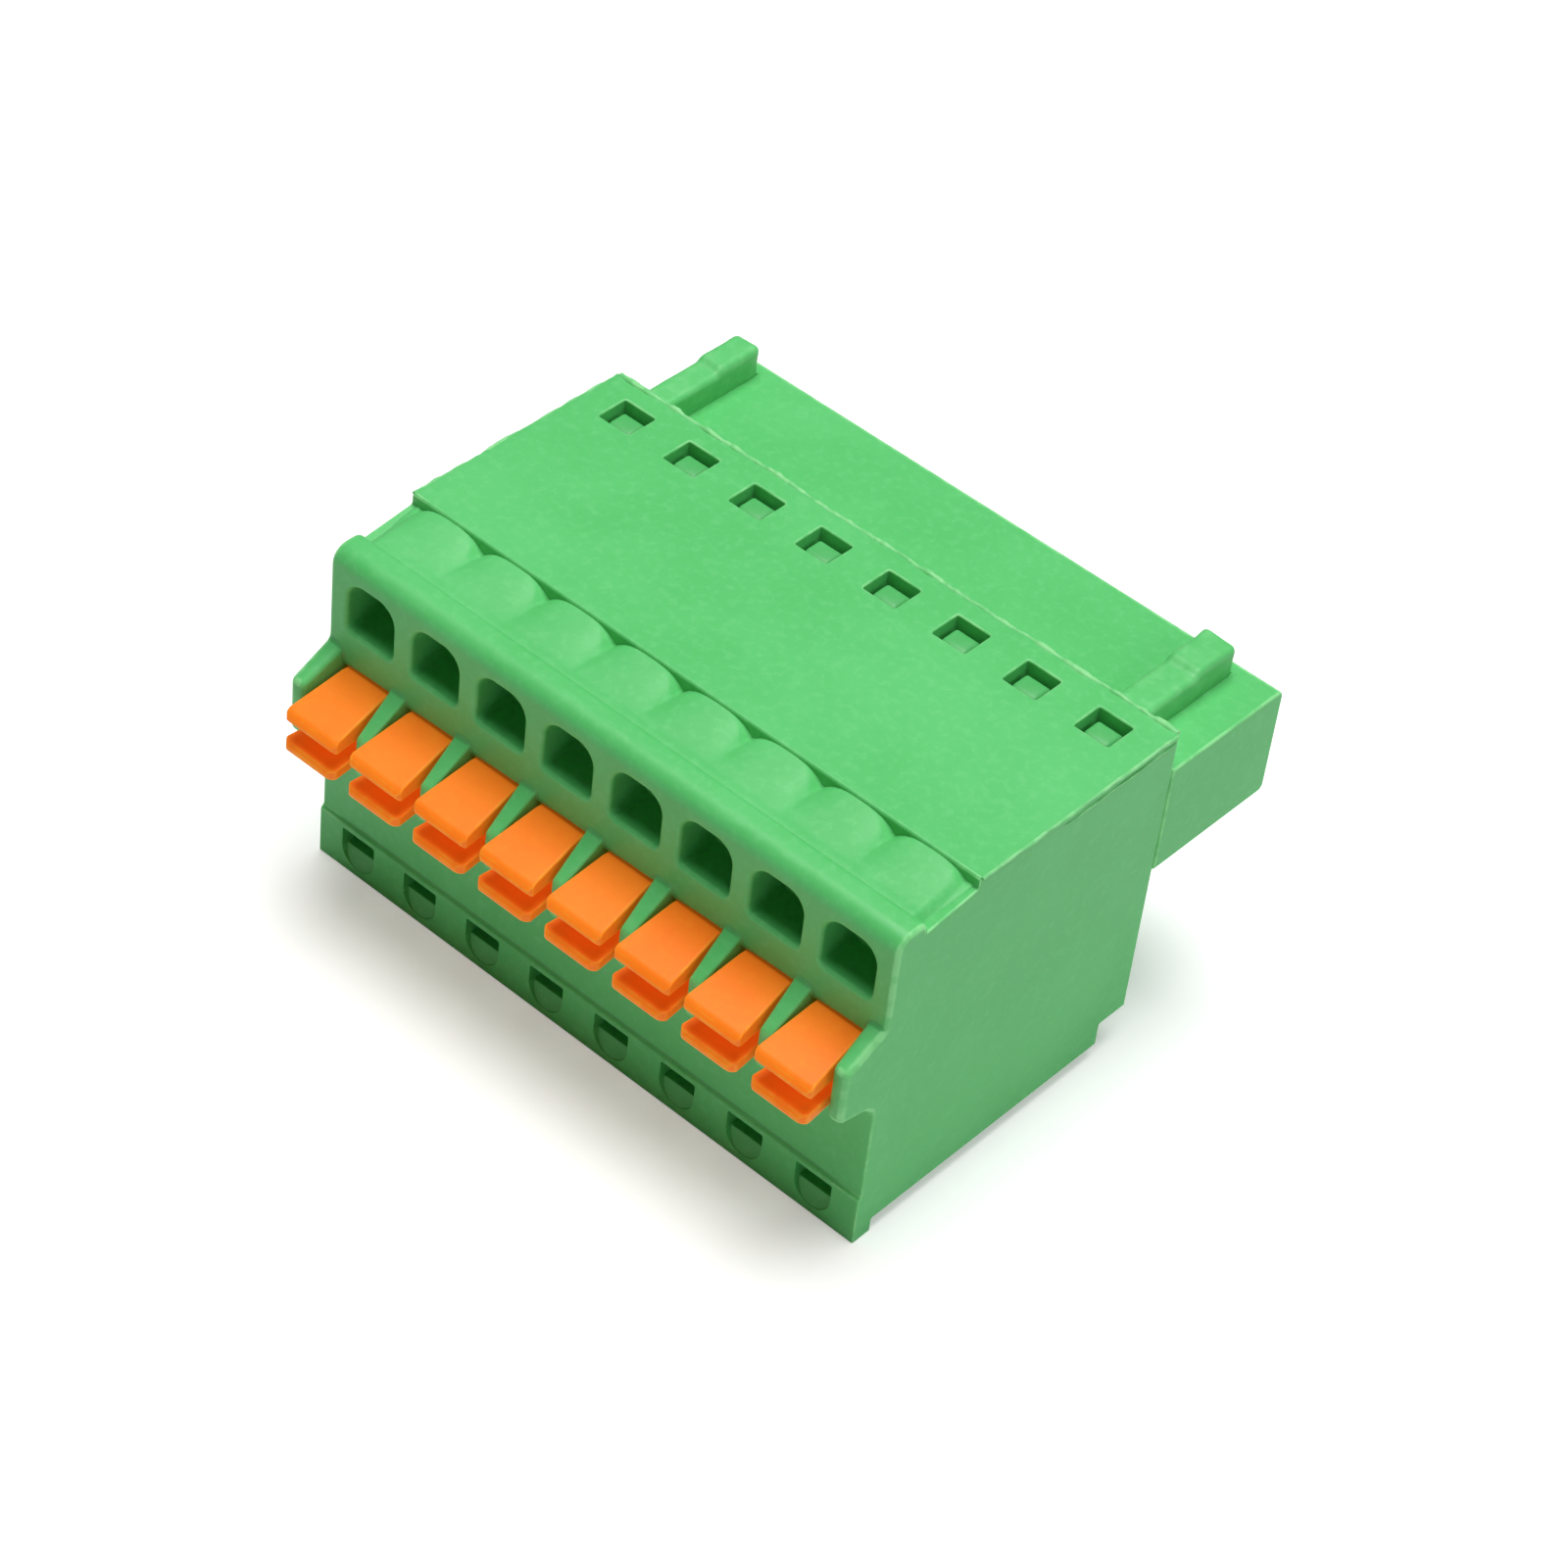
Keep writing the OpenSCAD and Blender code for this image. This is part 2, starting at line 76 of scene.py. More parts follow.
class Value:
    """A node's socket that takes part in Python sums."""

    def __init__(self, owner, socket):
        self.owner, self.socket = owner, socket

    def _sum(self, operation, a, b=0.0):
        return self.owner.node("ShaderNodeMath", {"operation": operation}, {0: a, 1: b})

    def __add__(self, other):
        return self._sum("ADD", self, other)

    __radd__ = __add__

    def __sub__(self, other):
        return self._sum("SUBTRACT", self, other)

    def __rsub__(self, other):
        return self._sum("SUBTRACT", other, self)

    def __mul__(self, other):
        return self._sum("MULTIPLY", self, other)

    __rmul__ = __mul__

    def __truediv__(self, other):
        return self._sum("DIVIDE", self, other)

    def __pow__(self, other):
        return self._sum("POWER", self, other)

    def away(self):
        return self._sum("ABSOLUTE", self)

    def at_most(self, other):
        return self._sum("MINIMUM", self, other)

    def at_least(self, other):
        return self._sum("MAXIMUM", self, other)

    def to_and_fro(self, step):
        return self._sum("PINGPONG", self, step)

    def above(self, level, soft):
        """0 below level, 1 above level + soft, smooth between."""
        return self.owner.node("ShaderNodeMapRange", {"interpolation_type": "SMOOTHSTEP"},
                               {0: self, 1: level, 2: level + soft, 3: 0.0, 4: 1.0})


class Tree:
    """Nodes made one by one, each from its kind, its settings and what its sockets take."""

    def node(self, kind, settings=None, inputs=None, out=0):
        made = self.tree.nodes.new(kind)
        for key, value in (settings or {}).items():
            setattr(made, key, value)
        for key, value in (inputs or {}).items():
            target = made.inputs[key]
            if isinstance(value, Value):
                self.tree.links.new(value.socket, target)
            else:
                target.default_value = value
        return Value(self, made.outputs[out])


class Finish(Tree):
    """A material with one Principled shader."""

    def __init__(self, name, colour, roughness, **constant):
        self.material = bpy.data.materials.new(name)
        self.material.use_nodes = True
        self.tree = self.material.node_tree
        self.shader = self.tree.nodes["Principled BSDF"]
        self.material.diffuse_color = (*colour, 1.0)
        self.set("Base Color", (*colour, 1.0))
        self.set("Roughness", roughness)
        for socket, value in constant.items():
            self.set(socket.replace("_", " "), value)

    def set(self, socket, value):
        target = self.shader.inputs[socket]
        if isinstance(value, Value):
            self.tree.links.new(value.socket, target)
        else:
            target.default_value = value

    def place(self):
        return self.node("ShaderNodeTexCoord", out="Object")

    def noise(self, scale, detail=2.0, rough=0.5, place=None):
        return self.node("ShaderNodeTexNoise", {"noise_dimensions": "3D"},
                         {"Vector": place or self.place(), "Scale": scale,
                          "Detail": detail, "Roughness": rough})

    def mix(self, factor, a, b):
        """Colour a where factor is 0 and colour b where it is 1."""
        return self.node("ShaderNodeMix", {"data_type": "RGBA", "clamp_factor": True},
                         {0: factor, 6: a, 7: b}, out=2)

    def bump(self, height, distance):
        return self.node("ShaderNodeBump", {}, {"Height": height, "Distance": distance,
                                                "Strength": 0.7})


def moulded(name, colour, pale, deep, rub_and_highlight, roughness, gloss, see_through, painted_glow):
    """Filled nylon: fine grain from the mould, cloudy colour, a few specks, and edges painted
    paler, partly as rubbed plastic and partly as a painted highlight. The attribute edge is above 0
    on these paler edges, up to 1, and below 0 in rounded corners and on latch tops, where painted
    shade darkens it."""
    f = Finish(name, colour, roughness, Specular_IOR_Level=gloss,
               Subsurface_Weight=see_through, Subsurface_Scale=0.5 * MM)
    f.shader.inputs["Subsurface Radius"].default_value = (0.5, 1.0, 0.5)
    cloud = f.noise(160.0, detail=3.0, rough=0.6)
    fine = f.noise(2600.0, rough=0.6)
    speck = f.noise(900.0).above(0.66, 0.05)
    tone = f.mix(cloud.above(0.35, 0.35), (*deep, 1.0), (*colour, 1.0))
    tone = f.mix(fine.above(0.45, 0.3) * 0.25, tone, (*pale, 1.0))
    tone = f.mix(speck * 0.12, tone, (*pale, 1.0))
    edge = f.node("ShaderNodeAttribute", {"attribute_name": "edge"}, out="Fac")
    # painted highlight, partly rubbing: edges with an edge value above 0 are painted paler in noisy
    # streaks
    rubbed_and_highlit = edge.at_least(0.0) * (0.4 + 0.9 * f.noise(1300.0).above(0.38, 0.3))
    tone = f.mix(rubbed_and_highlit, tone, (*rub_and_highlight, 1.0))
    # painted shade: rounded corners and latch tops (edge value below 0) are darkened towards a deep
    # green
    tone = f.mix((0.0 - edge).at_least(0.0) * 0.5, tone, (*[c * 0.6 for c in deep], 1.0))
    f.set("Base Color", tone)
    # painted glow: the plastic gives off light in its own colour, a painted brightening of the orange
    f.set("Emission Color", (*colour, 1.0))
    f.set("Emission Strength", painted_glow)
    f.set("Roughness", roughness + (fine - 0.5) * 0.14 + (cloud - 0.5) * 0.10 + rubbed_and_highlit * 0.06)
    f.set("Normal", f.bump(fine * 0.35 + cloud * 0.6 + f.noise(7000.0, detail=1.0) * 0.12, 0.02 * MM))
    return f.material


def sheet_metal(name, colour, roughness):
    """Rolled strip with fine lines along its length and dull patches."""
    f = Finish(name, colour, roughness, Metallic=1.0)
    stretched = f.node("ShaderNodeMapping", {}, {"Vector": f.place(), "Scale": (9000.0, 300.0, 300.0)})
    lines = f.noise(1.0, place=stretched)
    dull = f.noise(400.0)
    f.set("Base Color", f.mix(dull.above(0.4, 0.3) * 0.5, (*colour, 1.0),
                              (*[c * 0.7 for c in colour], 1.0)))
    f.set("Roughness", roughness + (lines - 0.5) * 0.2 + (dull - 0.5) * 0.2)
    f.set("Normal", f.bump(lines, 0.004 * MM))
    return f.material


green = moulded("green_nylon", colour=(0.118, 0.60, 0.178), pale=(0.20, 0.70, 0.27),
                deep=(0.100, 0.56, 0.155), rub_and_highlight=(0.27, 0.76, 0.30),
                roughness=0.46, gloss=0.45, see_through=0.2, painted_glow=0.0)
orange = moulded("orange_nylon", colour=(1.0, 0.225, 0.012), pale=(1.0, 0.29, 0.015),
                 deep=(0.97, 0.19, 0.008), rub_and_highlight=(1.0, 0.40, 0.03),
                 roughness=0.42, gloss=0.22, see_through=0.4, painted_glow=0.17)
spring_steel = sheet_metal("spring_steel", (0.60, 0.60, 0.60), 0.30)
tinned_copper = sheet_metal("tinned_copper", (0.74, 0.72, 0.68), 0.36)


def dress(obj, material):
    obj.data.materials.clear()
    obj.data.materials.append(material)


# ---------------------------------------------------------------- softened solids

SHARP = math.radians(24)                # an edge that turns more than this is rounded
FLAT = math.radians(0.6)                # faces that turn less than this are one face
STRAIGHT = math.radians(179.5)          # edges that meet at more than this are one edge
SHORT = 0.2 * MM                        # an edge that may become one point
WELD = 0.002 * MM
WIDEST = 0.3 * MM                       # rounding
SHARE = 0.45                            # of a face's width that one rounding may take
IN_LINE = 0.8                           # cosine between edges that go on in line


def clean_solid(node, cuts, merge, move):
    """A node's mesh with its flat faces joined, cut along planes so that no face keeps a hole.
    cuts holds (axis, place, test), where test picks the faces by middle and normal. Short edges
    where merge(middle) is true become one point, and move(point) gives points a new place."""
    bm = bmesh.new()
    bm.from_mesh(nodes[node].data)
    bmesh.ops.remove_doubles(bm, verts=bm.verts, dist=WELD)
    bmesh.ops.dissolve_limit(bm, angle_limit=FLAT, verts=bm.verts, edges=bm.edges)
    for axis, place, test in cuts:
        faces = [f for f in bm.faces if test(f.calc_center_median(), f.normal)]
        around = {e for f in faces for e in f.edges}
        corners = {v for f in faces for v in f.verts}
        plane = Vector([place if k == axis else 0.0 for k in range(3)])
        way = Vector([1.0 if k == axis else 0.0 for k in range(3)])
        bmesh.ops.bisect_plane(bm, geom=faces + list(around) + list(corners), dist=WELD / 2,
                               plane_co=plane, plane_no=way)
    places = [(axis, place) for axis, place, _ in cuts]

    def on_cut(edge):
        return any(all(abs(v.co[axis] - place) < 1.5 * WELD for v in edge.verts)
                   for axis, place in places)

    spare = [e for e in bm.edges if len(e.link_faces) == 2 and e.calc_face_angle(0.0) < FLAT
             and not on_cut(e)]
    bmesh.ops.dissolve_edges(bm, edges=spare, use_verts=False, use_face_split=False)
    straight = []
    for v in bm.verts:
        if len(v.link_edges) == 2:
            a, b = (e.other_vert(v).co - v.co for e in v.link_edges)
            if a.length and b.length and a.angle(b) > STRAIGHT:
                straight.append(v)
    bmesh.ops.dissolve_verts(bm, verts=straight)
    short = [e for e in bm.edges if e.calc_length() < SHORT
             and merge((e.verts[0].co + e.verts[1].co) / 2)]
    bmesh.ops.collapse(bm, edges=short, uvs=False)
    for v in bm.verts:
        v.co = move(v.co)
    return bm


def room_beside(edge, bevelled):
    """How wide a rounding may be before it meets the far side of a face or a short neighbour."""
    room = WIDEST
    along = (edge.verts[1].co - edge.verts[0].co).normalized()
    for face in edge.link_faces:
        inward = face.normal.cross(along)
        if inward.dot(face.calc_center_median() - edge.verts[0].co) < 0:
            inward = -inward
        room = min(room, SHARE * max(inward.dot(v.co - edge.verts[0].co) for v in face.verts))
        for v in edge.verts:
            for other in v.link_edges:
                if other is not edge and other in bevelled and face in other.link_faces:
                    way = other.other_vert(v).co - v.co
                    if abs(way.normalized().dot(along)) < IN_LINE:
                        room = min(room, SHARE * way.length)
    return room


def evened(bevelled):
    """Widths that fit, each run of edges in line or round a curve keeping its smallest."""
    width = {edge: min(wish, room_beside(edge, bevelled)) for edge, wish in bevelled.items()}
    done = set()
    for first in bevelled:
        if first in done:
            continue
        run, todo = [], [first]
        done.add(first)
        while todo:
            edge = todo.pop()
            run.append(edge)
            for v in edge.verts:
                way = (edge.other_vert(v).co - v.co).normalized()
                for other in v.link_edges:
                    if other in bevelled and other not in done:
                        if way.dot((other.other_vert(v).co - v.co).normalized()) < -IN_LINE:
                            done.add(other)
                            todo.append(other)
        least = min(width[edge] for edge in run)
        for edge in run:
            width[edge] = least
    return width


def edge_values(bm, rub_and_highlight):
    """For each point: its rub and highlight value on a rounded edge, painted paler there, or where it
    is painted darker all over (below 0, painted shade);
    -1 in a rounded corner, painted shade; 0 where a flat face ends. Faces made by the rounding have
    material index 1."""
    values = []
    for v in bm.verts:
        if rub_and_highlight(v.co) < 0:
            values.append(rub_and_highlight(v.co))
        elif all(f.material_index == 1 for f in v.link_faces):
            lean = sum((e.other_vert(v).co - v.co).normalized().dot(v.normal) for e in v.link_edges)
            values.append(rub_and_highlight(v.co) if lean < 0 else -1.0)
        else:
            values.append(0.0)
    return values


def softened(node, name, material, softness, cuts, move, merge=lambda p: False,
             rub_and_highlight=lambda p: 0.5):
    """A copy of a solid with rounded edges. softness(middle, convex) gives each sharp edge its
    rounding in metres."""
    bm = clean_solid(node, cuts, merge, move)
    layer = bm.edges.layers.float.new("bevel_weight_edge")
    bevelled = {}
    for edge in bm.edges:
        if len(edge.link_faces) == 2 and edge.calc_face_angle(0.0) > SHARP:
            middle = (edge.verts[0].co + edge.verts[1].co) / 2
            wish = softness(middle, edge.is_convex)
            if wish > 0:
                bevelled[edge] = wish
            else:
                edge.smooth = False
    for edge, width in evened(bevelled).items():
        edge[layer] = max(width / WIDEST, 0.01)
    for face in bm.faces:
        face.smooth = True
        face.material_index = 0
    mesh = bpy.data.meshes.new(name)
    bm.to_mesh(mesh)
    bm.free()
    obj = bpy.data.objects.new(name, mesh)
    bpy.context.scene.collection.objects.link(obj)
    for _ in range(2):
        mesh.materials.append(material)
    bevel = obj.modifiers.new("rounding", "BEVEL")
    bevel.limit_method = "WEIGHT"
    bevel.width = WIDEST
    bevel.segments = 4
    bevel.material = 1
    bevel.use_clamp_overlap = False
    bevel.loop_slide = True
    bevel.miter_outer = "MITER_ARC"
    weighted = obj.modifiers.new("flat_faces", "WEIGHTED_NORMAL")
    weighted.keep_sharp = True
    plain = bpy.data.meshes.new_from_object(obj.evaluated_get(bpy.context.evaluated_depsgraph_get()))
    obj.modifiers.clear()
    obj.data = plain
    bm = bmesh.new()
    bm.from_mesh(plain)
    # the edge attribute holds painted light: paler edges (partly rubbing, partly painted highlight)
    # and painted shade in rounded corners
    plain.attributes.new("edge", "FLOAT", "POINT").data.foreach_set("value", edge_values(bm, rub_and_highlight))
    bm.free()
    plain.polygons.foreach_set("material_index", [0] * len(plain.polygons))
    dress(obj, material)
    return obj


# Cuts at each pole's middle and between the poles
POLE_CUTS = ([(0, pole_x(i), lambda p, n: True) for i in range(1, POLES + 1)]
             + [(0, pole_x(i) + PITCH / 2, lambda p, n: True) for i in range(1, POLES)])


def shell_softness(p, convex):
    """How much each sharp edge of the shell is rounded."""
    y, z, x = p.y - FRONT, p.z, abs(p.x)
    if y > 1.5 * MM and 1.9 * MM < z < PLATE_TOP - 2.2 * MM and x < SIDE - 0.2 * MM:
        return 0.0                                   # inside the rooms
    if DECK_FRONT + 0.1 * MM < y < PLATE_FRONT - 0.05 * MM and z > PLATE_TOP - 1.2 * MM \
            and x < SIDE - 0.3 * MM:
        return 0.0                                   # under the deck's skin
    if abs(y - PLATE_FRONT) < ON and z > PLATE_TOP - ON / 2:
        return 0.05 * MM                             # plate's front edge
    if z < STRIP_TOP and y < 0.5 * MM and x < SIDE - 0.5 * MM:
        return 0.03 * MM                             # slots and their scoops
    if z < STRIP_TOP + 0.4 * MM:
        return 0.07 * MM                             # strip and lip
    if x > SIDE - ON:                                # the ends, softest near the front
        return 0.28 * MM if y < 2.2 * MM else 0.12 * MM
    if y < ON:
        if 12.0 * MM < z < 14.9 * MM:
            return 0.2 * MM                          # mouths of the wire entries
        return 0.24 * MM if convex else 0.18 * MM    # cheeks and ribs
    return 0.09 * MM


def shell_move(p):
    """The deck goes down a little to make room for its skin, and the scoops under the slots
    run out towards their lower ends."""
    y = p.y - FRONT
    if abs(p.x) >= SKIN_ROOM:
        return p
    if abs(y - SCOOP_FLOOR) < ON and p.z < 1.2 * MM:
        lean = 0.34 * max(p.z - 0.35 * MM, 0.0)
        return Vector((p.x, FRONT - 0.12 * MM + lean, p.z))
    on_deck = DECK_FRONT + 0.1 * MM < y < PLATE_FRONT + 0.01 * MM
    if on_deck and PLATE_TOP - MM < p.z < PLATE_TOP - 0.1 * MM:
        return Vector((p.x, p.y, p.z - 0.4 * MM))
    return p


def shell_rub_and_highlight(p):
    """Where the edges are painted paler, partly as plastic paled by handling and the mould and partly
    as a painted highlight: the ends and the latch windows.
    """
    end = abs(p.x) > SIDE - 0.5 * MM
    window = p.y > FRONT + WINDOWS and p.z > PLATE_TOP - 0.3 * MM
    return 1.0 if end else 0.7 if window else 0.12


def shell_merge(p):
    """The guards' front chamfers, and the short upright at the rim's foot."""
    guard = p.y < FRONT - 1.5 * MM
    upright = abs(p.y - FRONT - DECK_FRONT) < 0.03 * MM
    return guard or upright and PLATE_TOP - 0.95 * MM < p.z < PLATE_TOP - 0.7 * MM


def nose_softness(p, convex):
    """How much each sharp edge of the nose is rounded."""
    beside = any(left - 0.15 * MM < p.x < right + 0.1 * MM for left, right, _ in GUIDE_RIBS.values())
    along = SHELL_BACK - ON < p.y < SHELL_BACK + RIB_LENGTH + 0.1 * MM
    if beside and along and p.z > NOSE_TOP - 0.05 * MM:
        return 0.0                                   # under the guide ribs
    if p.z > LATCHES and p.y < SHELL_BACK:
        return 0.27 * MM                             # worn latch tops
    return 0.12 * MM


def nose_move(p):
    """The guide ribs go down a little, as pieces of their own cover them, and the latches
    come up a little."""
    if p.z > 14.5 * MM and p.y > SHELL_BACK - ON / 2:
        return Vector((p.x, min(p.y, SHELL_BACK + RIB_LENGTH - 0.5 * MM), 14.6 * MM))
    if p.z > 15.2 * MM:
        return Vector((p.x, p.y, p.z + 0.1 * MM))
    return p


def nose_rub_highlight_and_shade(p):
    """Latch tops get painted shade in their windows; every other edge is painted pale, partly as
    rubbing and partly as a painted highlight.
    """
    return -0.8 if p.z > LATCHES and p.y < SHELL_BACK else 1.0


FIN_FRONT = -3.05                        # the upper fin's front, mm from the shell's front
FIN_FALL = FIN_FRONT + 0.32              # where its top begins to fall
FIN_CUTS = [(1, FRONT + FIN_FALL * MM, lambda p, n: p.z > 9.3 * MM)]


def fuller_fins(p):
    """Both fins of a button a little thicker, with their top front edges falling away.
    Works in millimetres, with y back from the shell's front."""
    y, z = (p.y - FRONT) / MM, p.z / MM
    if y < -2.2:
        if z > 9.55:                                 # the upper fin's top
            z = min(z, 9.87 - 1.15 * max(0.0, FIN_FALL - y))
        elif z > 8.9:                                # the upper fin's underside
            z -= 0.1
        elif z > 8.15:                               # the lower fin's top
            z = min(z + 0.06, 8.42 - 0.9 * max(0.0, FIN_FRONT + 0.1 - y))
    return Vector((p.x, p.y, z * MM))


shell = softened("terminal_shell", "soft_shell", green, shell_softness, POLE_CUTS,
                 shell_move, shell_merge, shell_rub_and_highlight)
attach(shell, "housing")
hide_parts("terminal_shell")

nose = softened("plug_nose", "soft_nose", green, nose_softness, POLE_CUTS,
                nose_move, rub_and_highlight=nose_rub_highlight_and_shade)
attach(nose, "housing")
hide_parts("plug_nose")

for i in range(1, POLES + 1):
    piece = softened(f"push_button_{i}", f"soft_button_{i}", orange,
                     lambda p, convex: 0.22 * MM, FIN_CUTS, fuller_fins)
    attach(piece, f"button_{i}")
    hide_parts(f"push_button_{i}")
    dress(nodes[f"clamp_spring_{i}"], spring_steel)
    dress(nodes[f"pin_contact_{i}"], tinned_copper)


# ---------------------------------------------------------------- shapes by rule

class Shape(Tree):
    """A Geometry Nodes tree whose sizes are named inputs."""

    def __init__(self, name, sizes):
        self.tree = bpy.data.node_groups.new(name, "GeometryNodeTree")
        self.sizes = sizes
        sockets = self.tree.interface
        sockets.new_socket("Geometry", in_out="INPUT", socket_type="NodeSocketGeometry")
        for label, value in sizes.items():
            kind = "NodeSocketInt" if isinstance(value, int) else "NodeSocketFloat"
            sockets.new_socket(label, in_out="INPUT", socket_type=kind)
        sockets.new_socket("Geometry", in_out="OUTPUT", socket_type="NodeSocketGeometry")
        self.start = self.tree.nodes.new("NodeGroupInput")
        self.base = self.size("Geometry")            # the mesh that the tree starts from

    def size(self, label):
        return Value(self, self.start.outputs[label])

    def vector(self, x=0.0, y=0.0, z=0.0):
        return self.node("ShaderNodeCombineXYZ", {}, {0: x, 1: y, 2: z})

    def split(self, vector):
        made = self.node("ShaderNodeSeparateXYZ", {}, {0: vector}).socket.node
        return [Value(self, made.outputs[k]) for k in range(3)]

    def noise(self, scale, seed, place, colour=False):
        return self.node("ShaderNodeTexNoise", {"noise_dimensions": "4D"},
                         {"Vector": place, "W": seed, "Scale": scale, "Detail": 2.0},
                         out=1 if colour else 0)

    def wander(self, scale, place, reach):
        """A push in any direction, up to about half of reach."""
        push = self.noise(scale, self.size("Seed"), place, colour=True)
        push = self.node("ShaderNodeVectorMath", {"operation": "SUBTRACT"},
                         {0: push, 1: (0.5, 0.5, 0.5)})
        return self.node("ShaderNodeVectorMath", {"operation": "SCALE"}, {0: push, "Scale": reach})

    def edge_attribute(self, geometry, value):
        return self.node("GeometryNodeStoreNamedAttribute", {"data_type": "FLOAT", "domain": "POINT"},
                         {0: geometry, "Name": "edge", "Value": value})

    def make(self, geometry, name, material, base=None):
        """Ends the tree, runs it with its sizes and keeps the result as a plain mesh."""
        real = self.node("GeometryNodeRealizeInstances", {}, {0: geometry})
        smooth = self.node("GeometryNodeSetShadeSmooth", {}, {0: real, 2: True})
        dressed = self.node("GeometryNodeSetMaterial", {}, {0: smooth, "Material": material})
        end = self.tree.nodes.new("NodeGroupOutput")
        self.tree.links.new(dressed.socket, end.inputs[0])
        obj = bpy.data.objects.new(name, base or bpy.data.meshes.new(name))
        bpy.context.scene.collection.objects.link(obj)
        grown = obj.modifiers.new(name, "NODES")
        grown.node_group = self.tree
        for item in self.tree.interface.items_tree:
            if item.in_out == "INPUT" and item.name in self.sizes:
                grown[item.identifier] = self.sizes[item.name]
        seen = obj.evaluated_get(bpy.context.evaluated_depsgraph_get())
        mesh = bpy.data.meshes.new_from_object(seen)
        obj.modifiers.clear()
        obj.data = mesh
        return obj


def deck_skin():
    """The deck between rim and plate: a hump over each wire guide, and valleys between them,
    deepest at the plate's foot and fading towards the rim."""
    shape = Shape("deck_skin", {
        "Half Width": 14.26 * MM, "Length": PLATE_FRONT - DECK_FRONT, "Pitch": PITCH,
        "Crest": PLATE_TOP - 0.13 * MM, "End": PLATE_TOP - 0.47 * MM, "Foot": FRONT + PLATE_FRONT,
        "Fall": 0.38 * MM, "Valley": 0.34 * MM, "Pocket": 0.2 * MM,
        "Across": POLES * 32 + 9, "Along": 34, "Seed": 3})
    size = shape.size
    grid = shape.node("GeometryNodeMeshGrid", {}, {
        "Size X": size("Half Width") * 2.0, "Size Y": size("Length") * 1.12,
        "Vertices X": size("Across"), "Vertices Y": size("Along")})
    x, y, _ = shape.split(shape.node("GeometryNodeInputPosition"))
    along = 0.53 - y / size("Length")                    # 0 at the plate's foot, 1 at the rim
    half = size("Pitch") / 2.0
    off = 1.0 - x.away().at_most(size("Pitch") * 4.0).to_and_fro(half) / half
    steep = off ** 4.0                                   # 0 on a crest, 1 in a valley
    valley = (0.75 * steep + 0.25 * off * off) * size("Valley") * (1.0 - along.above(0.05, 1.0))
    wedge = off ** 3.0 - along.at_least(0.0) * 3.2
    pocket = wedge.at_least(0.0) * size("Pocket")        # a three-cornered hollow at the plate
    z = size("Crest") - size("Fall") * along.at_least(0.0) - valley - pocket
    level = size("End") - size("Fall") * along.at_least(0.0)
    z = z + (level - z) * x.away().above(size("Half Width") - 0.6 * MM, 0.42 * MM)
    dip = x.away().above(size("Half Width") - 0.15 * MM, 0.15 * MM)
    z = z - 0.12 * MM * dip                              # its ends go into the shell
    z = z + 0.05 * MM * along.above(0.86, 0.16)          # fillet to the rim
    moved = shape.vector(x, y - size("Length") * 0.53 + size("Foot"), z)
    ripple = (shape.noise(700.0, size("Seed"), moved) - 0.5) * (0.04 * MM)
    moved = shape.node("GeometryNodeSetPosition", {}, {
        0: grid, "Position": moved, "Offset": shape.vector(0.0, 0.0, ripple)})
    skin = shape.make(moved, "deck_skin", green)
    body = skin.modifiers.new("thickness", "SOLIDIFY")
    body.thickness = 0.15 * MM
    body.offset = -1.0
    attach(skin, "housing")


def guide_rib(name, left, right, seed):
    """A guide rib on the nose: a bar with round edges whose back end stands a little higher."""
    shape = Shape(name, {
        "Left": left, "Right": right, "Front": SHELL_BACK - 0.1 * MM, "Length": RIB_LENGTH,
        "Low": NOSE_TOP - 0.25 * MM, "High": NOSE_TOP + 1.2 * MM, "Step": 0.2 * MM,
        "Step At": 3.6 * MM, "Round": 0.28 * MM, "Fine": 20, "Long": 70, "Seed": seed})
    size = shape.size
    block = shape.node("GeometryNodeMeshCube", {}, {
        "Size": (2.0, 2.0, 2.0), "Vertices X": size("Fine"), "Vertices Y": size("Long"),
        "Vertices Z": size("Fine")}, out="Mesh")
    x, y, z = shape.split(shape.node("GeometryNodeInputPosition"))
    half = [(size("Right") - size("Left")) / 2.0, size("Length") / 2.0,
            (size("High") - size("Low")) / 2.0]
    full = [axis * reach for axis, reach in zip((x, y, z), half)]
    core = [axis.at_most(reach - size("Round")).at_least(size("Round") - reach)
            for axis, reach in zip(full, half)]
    out = shape.node("ShaderNodeVectorMath", {"operation": "SUBTRACT"},
                     {0: shape.vector(*full), 1: shape.vector(*core)})
    out = shape.node("ShaderNodeVectorMath", {"operation": "NORMALIZE"}, {0: out})
    out = shape.node("ShaderNodeVectorMath", {"operation": "SCALE"}, {0: out, "Scale": size("Round")})
    dx, dy, dz = shape.split(out)
    px, py, pz = core[0] + dx, core[1] + dy, core[2] + dz
    raised = (py + half[1] - size("Step At")).above(0.0, 0.45 * MM)
    pz = pz + size("Step") * raised * (0.5 + 0.5 * z)
    place = shape.vector(px + (size("Left") + size("Right")) / 2.0, py + half[1] + size("Front"),
                         pz + (size("Low") + size("High")) / 2.0)
    lump = shape.wander(650.0, place, 0.16 * MM)
    bar = shape.node("GeometryNodeSetPosition", {}, {0: block, "Position": place, "Offset": lump})
    # painted highlight: the rib's edge value rises towards its top, so it is painted paler there
    obj = shape.make(shape.edge_attribute(bar, (z + 1.0) * 0.16), name, green)
    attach(obj, "housing")


